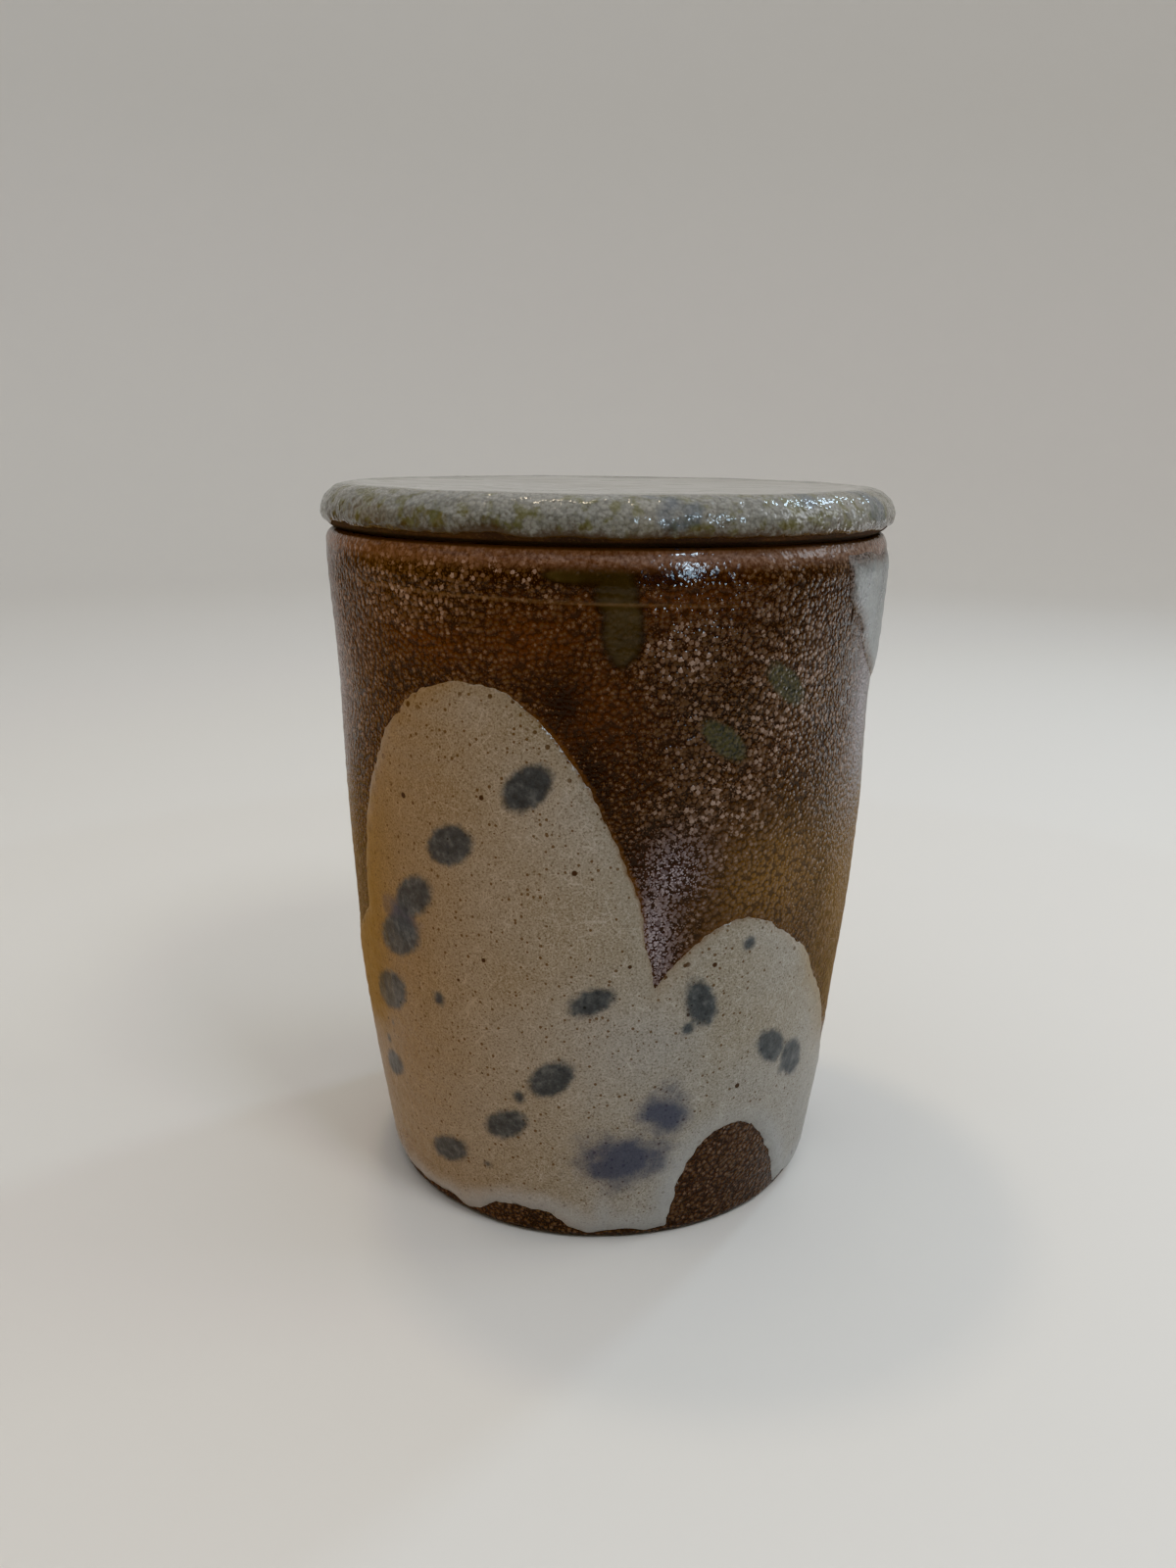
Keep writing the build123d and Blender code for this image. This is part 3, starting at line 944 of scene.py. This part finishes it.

# %% [markdown]
# Close to the pale glaze, iron gathers as a rusty line. The dark run and the olive dabs cover the flecks. A
# line is scored into the skin and painted pale along it as a painted highlight, and a few slits are painted
# nearly black, with no relief, as the shade inside them. These read the distances that the pot keeps.

# %% Marks on the brown skin
near_pour = brown.reads("from_pour") + speckle * 1.6
brown.paint(near_pour.step(2.0, 0.8) * brown.reads("rusty").onto(0.02, 0.70), (0.120, 0.048, 0.012))
blurred = (brown.noise(4, 3, 0.6) - 0.5) * 3.0
run_depth = brown.reads("in_run") + blurred * 0.5
in_run = run_depth.step(-0.6, 1.0)
run_tone = brown.ramp(cloud, (0.36, (0.032, 0.023, 0.013)), (0.64, (0.066, 0.051, 0.031)))
run_tone = brown.mix(run_depth.step(0.4, 2.4), (0.015, 0.008, 0.004), run_tone)
brown.paint(in_run * 0.90, run_tone)
in_olive = (brown.reads("in_olive") + blurred * 0.5).step(-0.4, 1.0)
olive_tone = brown.ramp(speckle, (0.36, (0.047, 0.050, 0.045)), (0.58, (0.088, 0.081, 0.050)))
brown.paint(in_olive * 0.88, olive_tone)
# painted highlight: the scored line is painted pale, as a glint along the edge of its groove
brown.paint(brown.reads("scored").step(0.35, 0.95) * 0.30, (0.260, 0.175, 0.115))
# painted shade: the slits are painted nearly black and without gloss, as the shade inside them
in_slit_shade = brown.reads("in_slit_shade").step(-0.3, 0.35)
brown.paint(in_slit_shade * 0.85, (0.016, 0.008, 0.005))
print("with its marks it has", len(brown.tree.nodes), "nodes")

# %% [markdown]
# The lip is rubbed smooth by hands and lids, so it is glossier in front, and a redder, paler band is painted
# on it there as a painted sheen. The rim that the lid lies on is bare clay, painted a dark brown that also
# stands as painted shade under the lid. The relief is the dome of each pebble with grit on it, less where
# a run or a rubbed lip is smooth.

# %% Lip, gloss and relief of the brown skin
tall, sheen = brown.height(), brown.reads("sheen").onto(0.65, 1)
painted_lip_sheen = tall.step(175.0 * MM, 178.5 * MM) * sheen
rubbed = tall.step(172.2 * MM, 175.0 * MM) * sheen
lip_sheen_tone = brown.ramp(speckle, (0.3, (0.140, 0.078, 0.056)), (0.7, (0.340, 0.225, 0.172)))
# painted sheen: a paler, redder band on the front of the lip
brown.paint(painted_lip_sheen * 0.85, lip_sheen_tone)
shaded_rim_top = tall.step(180.0 * MM, 180.6 * MM)
# painted shade: the rim top under the lid is painted dark
brown.paint(shaded_rim_top * 0.9, (0.034, 0.018, 0.010))
smooth = (in_run * 0.8).larger(rubbed).onto(1, 0.08)
lumpy = brown.noise(1.9, 1.5, 0.5) * rubbed * 0.9
pebbles = brown.bump(reach.step(0.80, 0.05) * smooth + lumpy, 0.24)
brown.on(
    pot,
    Base_Color=brown.colour,
    Specular_IOR_Level=in_slit_shade.larger(shaded_rim_top).onto(0.5, 0.05),
    Roughness=cloud.onto(0.18, 0.30, 0.3, 0.7) - rubbed * 0.11,
    Normal=brown.bump(grit * smooth, 0.04, Normal=pebbles),
)

# %% [markdown]
# ### Pale glaze
# The pale glaze is a satin grey-beige, warmer where it is thin, with a net of hairline cracks, and a tan
# painted in broad spots, most of all on the left, stands both for thin glaze and for painted warm bounce
# light.
# Iron in the clay has come through as fine brown specks and a few bold ones, and they crowd along its rusty
# edge. The dabs are blue-grey with soft, slightly ragged edges.


# %% Colour of the pale glaze
def pale_coat(finish, grain):
    """Paints the pale glaze before anything is brushed on it, and gives its slow drift and its fine grain."""
    slow, fine = finish.noise(38, 2, 0.5), finish.noise(grain, 2, 0.6)
    warm, even, cool = (0.278, 0.246, 0.194), (0.300, 0.278, 0.238), (0.305, 0.292, 0.267)
    finish.colour = finish.ramp(slow, (0.34, warm), (0.50, even), (0.68, cool))
    finish.paint(fine.step(0.50, 0.72) * 0.75, (0.400, 0.380, 0.342))
    finish.paint(fine.step(0.50, 0.28) * 0.8, (0.140, 0.115, 0.083))
    broken = finish.noise(5, 2, 0.5).step(0.42, 0.60)
    cracks = finish.hairlines(5.2, 0.024).larger(finish.hairlines(2.7, 0.036))
    finish.paint(cracks * broken * 0.38, (0.52, 0.50, 0.46))
    finish.paint(finish.specks(1.5, 0.80, 0.34, 0.10) * 0.85, (0.105, 0.060, 0.030))
    finish.paint(finish.specks(7.0, 0.50, 0.14, 0.03), (0.045, 0.020, 0.009))
    return slow, fine


pale = Finish("pale_glaze", IOR=1.48)
slow, fine = pale_coat(pale, 0.50)
# tan of thin glaze together with painted warm bounce light
pale.tint(pale.reads("tanned_and_warm_lit"), (0.68, 0.44, 0.185))
patchy = pale.noise(7, 3, 0.6) - 0.5
wash = (pale.reads("washed") + patchy).step(0.25, 0.95)
pale.paint(wash * 0.85, (0.052, 0.062, 0.098))
print("the pale glaze starts with", len(pale.tree.nodes), "nodes")

# %% Dabs on the pale glaze
ragged = (pale.noise(1.8, 3, 0.65) - 0.5) * 2.2
in_dab = (pale.reads("in_dab") + ragged).step(-0.8, 1.3)
dark, mid, light = (0.030, 0.037, 0.045), (0.050, 0.060, 0.069), (0.100, 0.108, 0.113)
dab_tone = pale.ramp(pale.noise(2.6, 3, 0.65), (0.36, dark), (0.52, mid), (0.68, light))
pale.paint(in_dab * 0.9, dab_tone)
pinholes = in_dab * pale.specks(2.2, 0.45, 0.22, 0.08)
pale.paint(pinholes * 0.8, (0.014, 0.013, 0.013))
print("with its dabs it has", len(pale.tree.nodes), "nodes")

# %% Edge, gloss and relief of the pale glaze
edge = pale.reads("from_edge") + ragged * 0.8
pale.paint(edge.step(5.0, 0.3) * 0.25, (0.230, 0.175, 0.112))
low_down = pale.height().step(50 * MM, 18 * MM)
pale.paint(edge.step(9.0, 2.0) * low_down * 0.6, (0.360, 0.372, 0.378))
dots = pale.specks(2.6, 0.75, 0.36, 0.08) * (edge.step(6.0, 1.5) - low_down)
pale.paint(dots * 0.9, (0.060, 0.028, 0.012))
rust = edge.step(1.4, 0.1) * pale.reads("rusty").onto(0.05, 0.75)
pale.paint(rust, (0.135, 0.064, 0.022))
pale.on(
    pale_pour,
    Base_Color=pale.colour,
    Roughness=slow.onto(0.25, 0.38, 0.3, 0.7),
    Normal=pale.bump(fine, 0.05, Normal=pale.bump(pale.noise(2.2, 2, 0.5), 0.12)),
)

# %% [markdown]
# ### Glaze run down from the rim
# This run is thin and bluish, and it melted into the brown skin, so it has no sharp border: its colour fades
# into frost over the last few millimetres.

# %% Rim run
rim = Finish("rim_glaze", IOR=1.48)
cloudy, fine = rim.noise(9, 3, 0.6), rim.noise(0.55, 2, 0.6)
rim.colour = rim.ramp(cloudy, (0.34, (0.165, 0.175, 0.178)), (0.66, (0.250, 0.258, 0.252)))
rim.paint(fine.step(0.50, 0.70) * 0.4, (0.360, 0.365, 0.355))
rim.paint(fine.step(0.50, 0.30) * 0.5, (0.100, 0.098, 0.090))
ragged = (rim.noise(2.4, 3, 0.65) - 0.5) * 5.0
frost = rim.ramp(rim.noise(0.7, 1), (0.40, (0.030, 0.016, 0.010)), (0.62, (0.190, 0.150, 0.130)))
rim.paint((rim.reads("from_edge") + ragged).step(4.2, 0.4), frost)
rim.on(
    rim_pour,
    Base_Color=rim.colour,
    Roughness=cloudy.onto(0.22, 0.36, 0.3, 0.7),
    Normal=rim.bump(rim.noise(1.1, 2), 0.20),
)

# %% [markdown]
# ### Glaze of the lid
# The same glaze lies thicker on the lid, so it is glassy and greyer. On the edge it is pebbled and has broken
# into olive and ochre, with a few blue-grey patches, and it goes brown where it thins out at its lower line.

# %% Lid glaze
glassy = Finish("lid_glaze", IOR=1.5)
pale_coat(glassy, 0.55)
pooled = (0.34, (0.176, 0.180, 0.165)), (0.66, (0.252, 0.245, 0.215))
glassy.paint(0.65, glassy.ramp(glassy.noise(13, 3, 0.6), *pooled))
level = glassy.add("ShaderNodeVectorMath", {0: glassy.place, 1: (1, 1, 0)}, operation="MULTIPLY")
from_axis = glassy.add("ShaderNodeVectorMath", {0: level}, "Value", operation="LENGTH")
on_rim = from_axis.step(64 * MM, 71 * MM)
reach = glassy.cells(1.05)
# painted shade and highlight: the creases between the pebbles on the edge are painted dark, and their tops
# painted pale
glassy.paint(reach.step(0.42, 0.78) * on_rim * 0.40, (0.085, 0.082, 0.070))
glassy.paint(reach.step(0.42, 0.15) * glassy.chance(reach) * on_rim * 0.24, (0.330, 0.330, 0.300))
glassy.paint(glassy.noise(4.2, 3, 0.6).step(0.48, 0.64) * on_rim * 0.6, (0.125, 0.116, 0.038))
glassy.paint(glassy.noise(15, 2, 0.5).step(0.60, 0.68) * on_rim * 0.5, (0.085, 0.108, 0.140))
thin = glassy.reads("from_edge") + (glassy.noise(1.6, 3, 0.65) - 0.5) * 6.0
glassy.paint(thin.step(5.0, 0.8) * 0.94, (0.060, 0.035, 0.021))
lumpy = glassy.bump(glassy.noise(2.6, 1.5, 0.5) * on_rim, 0.55)
glassy.on(
    lid_glaze_coat,
    Base_Color=glassy.colour,
    Roughness=on_rim.onto(0.05, 0.09),
    Normal=glassy.bump(reach.step(0.85, 0.05) * on_rim, 0.07, Normal=lumpy),
)

# %% [markdown]
# ### Bare clay and the liner
# Where no glaze lies, the iron in the clay has toasted to a dry brown with sand in it. The lid's bare edge is
# darker, and painted black along the gap that it leaves over the rim, as painted shade in that gap. The liner
# is the pale glaze again, smooth and glossy.

# %% Bare clay and liner
bare = Finish("bare_stoneware", IOR=1.5)
toast, sand = bare.noise(12, 3, 0.6), bare.noise(0.6, 2, 0.6)
dark, middling, light = (0.036, 0.018, 0.010), (0.062, 0.032, 0.018), (0.105, 0.060, 0.034)
bare.colour = bare.ramp(toast, (0.34, dark), (0.50, middling), (0.66, light))
bare.paint(sand.step(0.54, 0.70) * 0.4, (0.230, 0.160, 0.105))
bare.paint(bare.specks(2.2, 0.35, 0.18, 0.06), (0.030, 0.015, 0.008))
tall = bare.height()
on_edge = tall.step(181.10 * MM, 181.25 * MM)
bare.tint(on_edge, (0.62, 0.52, 0.46))
# painted shade: a black line along the lid's bare edge, in the gap over the rim
painted_gap_shade = on_edge * tall.step(182.40 * MM, 181.85 * MM)
bare.paint(painted_gap_shade * 0.92, (0.006, 0.004, 0.003))
bare.on(
    lid_clay, centring_ring,
    Base_Color=bare.colour,
    Roughness=toast.onto(0.55, 0.80, 0.3, 0.7),
    Normal=bare.bump(sand, 0.14),
)

lined = Finish("liner_glaze", IOR=1.5)
slow, _ = pale_coat(lined, 0.5)
lined.on(
    liner,
    Base_Color=lined.colour,
    Roughness=slow.onto(0.16, 0.30, 0.3, 0.7),
    Normal=lined.bump(lined.noise(4, 2, 0.5), 0.10),
)

# %% [markdown]
# ## Floor and light
# The pot stands on a plain pale floor that curves up far away on every side, so that no horizon line shows.
# An even sky lights both, and the bright sweep behind the pot is mirrored along its outline and on the lid.

# %% Floor
FLOOR_FLAT, FLOOR_BEND, FLOOR_WALL, FLOOR_COLUMNS = 1.5, 0.8, 0.9, 96
floor_profile = np.concatenate([
    [[0.3, 0], [FLOOR_FLAT, 0]],
    arc((FLOOR_FLAT, FLOOR_BEND), FLOOR_BEND, -90, 0, 24)[1:],
    [[FLOOR_FLAT + FLOOR_BEND, FLOOR_BEND + FLOOR_WALL]],
])
floor_points = round_about(steps_round(FLOOR_COLUMNS), floor_profile[:, :1], floor_profile[:, 1:])
floor_points = floor_points.reshape(-1, 3)
here = np.arange(FLOOR_COLUMNS)
middle = np.column_stack([here, np.roll(here, -1), np.full(FLOOR_COLUMNS, len(floor_points))])
floor_quads = ring_quads(len(floor_profile), FLOOR_COLUMNS)[:, ::-1]
floor = put_in_mesh("floor", np.concatenate([floor_points, [[0, 0, 0]]]), floor_quads, middle)
Finish("pale_floor", Base_Color=(0.74, 0.715, 0.675, 1), Roughness=0.8).on(floor)

# %% [markdown]
# Cards stand round the pot, as a photographer's do, and only mirror images show them. Dark ones in front keep
# the glaze deep there, warm ones on the left and flat behind the pot tan its edges, and a small bright one
# gives the sheen on the right.

# %% Cards
CARD_REACH, CARD_FOOT = 0.75, 0.01
CARD_ROWS, CARD_COLUMNS = 9, 25
DARK_CARD = (0.030, 0.026, 0.022)


def card(name, start, end, tall, colour, inner=CARD_REACH, outer=CARD_REACH, glow=0.0):
    """A card round the pot from one angle to another: upright up to a height, or flat between two radii. The
    camera doesn't see it, and it throws no shadow."""
    turns = np.radians(np.linspace(start, end, CARD_COLUMNS))
    turn, share = np.meshgrid(turns, np.linspace(0, 1, CARD_ROWS))
    quads = ring_quads(CARD_ROWS, CARD_COLUMNS).reshape(CARD_ROWS - 1, CARD_COLUMNS, 4)[:, :-1].reshape(-1, 4)
    radius, height = inner + (outer - inner) * share, CARD_FOOT + (tall - CARD_FOOT) * share
    piece = put_in_mesh(name, round_about(turn, radius, height).reshape(-1, 3), quads)
    piece.visible_camera, piece.visible_diffuse, piece.visible_shadow = False, False, False
    shade = (*colour, 1)
    Finish(name, Base_Color=shade, Roughness=0.9, Emission_Color=shade, Emission_Strength=glow).on(piece)


card("dark_card", -58, 62, 0.70, DARK_CARD)
card("low_card", 63, 88, 0.30, DARK_CARD)
card("warm_card", -116, -60, 0.60, (0.300, 0.150, 0.050))
card("pale_card", 104, 115, 0.15, (0.94, 0.97, 1.0), inner=0.35, outer=0.35, glow=1.7)
card("warm_floor_card", 95, 265, CARD_FOOT, (0.520, 0.370, 0.210), inner=0.10, outer=0.40)

# %% [markdown]
# A cool window on the right and small lamps, cool and warm, give the glints. The high lamp and the warm fill
# on the left give light but no glint. The fill lights the pot alone, so that the floor stays plain.


# %% Lamps
def softbox(name, place, size, power, colour, mirrored=True, lights=True):
    """A square lamp at a place, turned to face the pot's middle. One that isn't mirrored gives light but no
    glint, and one that doesn't light gives glints alone."""
    lamp = bpy.data.lights.new(name, "AREA")
    lamp.size, lamp.energy, lamp.color = size, power, colour
    back = np.array(place) - (0, 0, POT_HEIGHT / 2)
    back = back / np.linalg.norm(back)
    side = np.cross((0, 0, 1), back)
    side = side / np.linalg.norm(side)
    holder = stand(name, lamp, (side, np.cross(back, side), back), place)
    holder.visible_camera, holder.visible_glossy, holder.visible_diffuse = False, mirrored, lights
    return holder


softbox("window", (1.05, 0.10, 0.80), 0.50, 2.2, (0.86, 0.93, 1.0))
softbox("cool_lamp", (0.505, -0.725, 0.64), 0.13, 4.8, (0.60, 0.82, 1.0), lights=False)
softbox("high_lamp", (0.50, -0.62, 1.10), 0.30, 3.6, (0.90, 0.95, 1.0), mirrored=False)
softbox("rear_lamp", (0.70, 0.66, 1.00), 0.11, 2.0, (0.60, 0.82, 1.0))
softbox("warm_lamp", (-0.16, 0.20, 1.25), 0.10, 1.6, (1.0, 0.84, 0.62))
fill = softbox("warm_fill", (-0.66, -0.24, 0.16), 0.28, 1.0, (1.0, 0.50, 0.16), mirrored=False)
fill.light_linking.receiver_collection = bpy.data.collections.new("pot_alone")
for piece in (pot, pale_pour, rim_pour):
    fill.light_linking.receiver_collection.objects.link(piece)
print("lamps:", [lamp.name for lamp in bpy.data.lights])

# %% Sky
sky = bpy.data.worlds.new("sky")
bpy.context.scene.world = sky
sky.use_nodes = True
sky_light = sky.node_tree.nodes["Background"].inputs
sky_light["Color"].default_value, sky_light["Strength"].default_value = (0.97, 0.98, 1.0, 1), 0.72
bpy.context.scene.view_settings.view_transform = "Khronos PBR Neutral"
print("sky strength", round(sky_light["Strength"].default_value, 2))
